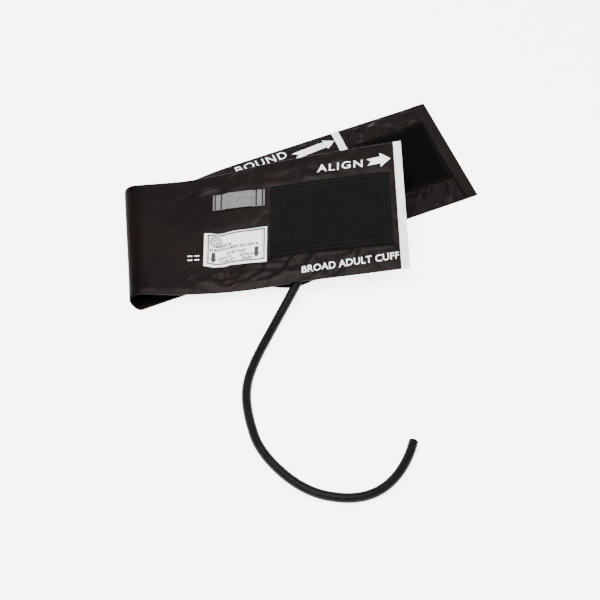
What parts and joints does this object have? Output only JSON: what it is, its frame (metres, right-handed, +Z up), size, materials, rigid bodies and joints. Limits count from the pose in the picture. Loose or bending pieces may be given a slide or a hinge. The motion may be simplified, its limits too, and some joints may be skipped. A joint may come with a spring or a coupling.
{
  "type": "blood pressure cuff",
  "caption": "Upper-arm blood pressure cuff of black nylon, folded once, with an air bladder panel, hook and loop patches, a gauge strap and an air hose with an open end.",
  "frame": {"origin": "on the table, under the middle of the cuff's box without its hose", "axes": "+X from the fold along the bladder panel, +Y across the cuff away from the hose, +Z up"},
  "size_m": [0.3901, 0.52, 0.0623],
  "materials": {
    "nylon": "coated nylon taffeta, soft sheen",
    "nylon_lining": "coated nylon taffeta, inner face",
    "loop_pile": "brushed loop pile",
    "hook_pile": "moulded hook tape",
    "webbing": "woven polyester webbing",
    "label_cloth": "printed woven label",
    "white_tape": "smooth white tape",
    "black_thread": "sewing thread",
    "rubber": "matte moulded rubber",
    "bladder_rubber": "thin sheet rubber"
  },
  "bodies": {
    "tail": {"tail_outer_fabric": "nylon", "tail_lining": "nylon_lining", "tail_hem": "nylon_lining", "hem_stitching": "black_thread", "hook_patch": "hook_pile", "hook_patch_stitching": "black_thread", "range_tape": "white_tape"},
    "fold": {"fold_outer_fabric": "nylon", "fold_lining": "nylon_lining"},
    "panel": {"panel_outer_fabric": "nylon", "panel_lining": "nylon_lining", "panel_near_seam": "nylon", "panel_far_seam": "nylon", "bladder_upper_sheet": "bladder_rubber", "bladder_lower_sheet": "bladder_rubber", "bladder_port": "rubber", "bladder_neck": "rubber", "air_hose": "rubber", "air_hose_end": "rubber", "loop_patch": "loop_pile", "loop_patch_stitching": "black_thread", "instruction_label": "label_cloth", "label_stitching": "black_thread", "index_tape": "white_tape", "index_tape_stitching": "black_thread", "gauge_strap": "webbing", "strap_bar_tacks": "black_thread"}
  },
  "joints": [
    {"name": "lower_fold", "type": "hinge", "parent": "tail", "child": "fold", "pos_m": [-0.195, 0, 0], "axis": [0, -1, 0], "range_deg": [0, 90]},
    {"name": "upper_fold", "type": "hinge", "parent": "fold", "child": "panel", "pos_m": [-0.195, 0, 0.024], "axis": [0, -1, 0], "range_deg": [0, 81]}
  ],
  "couplings": [
    {"joint": "upper_fold", "follows": "lower_fold", "ratio": 0.9}
  ]
}
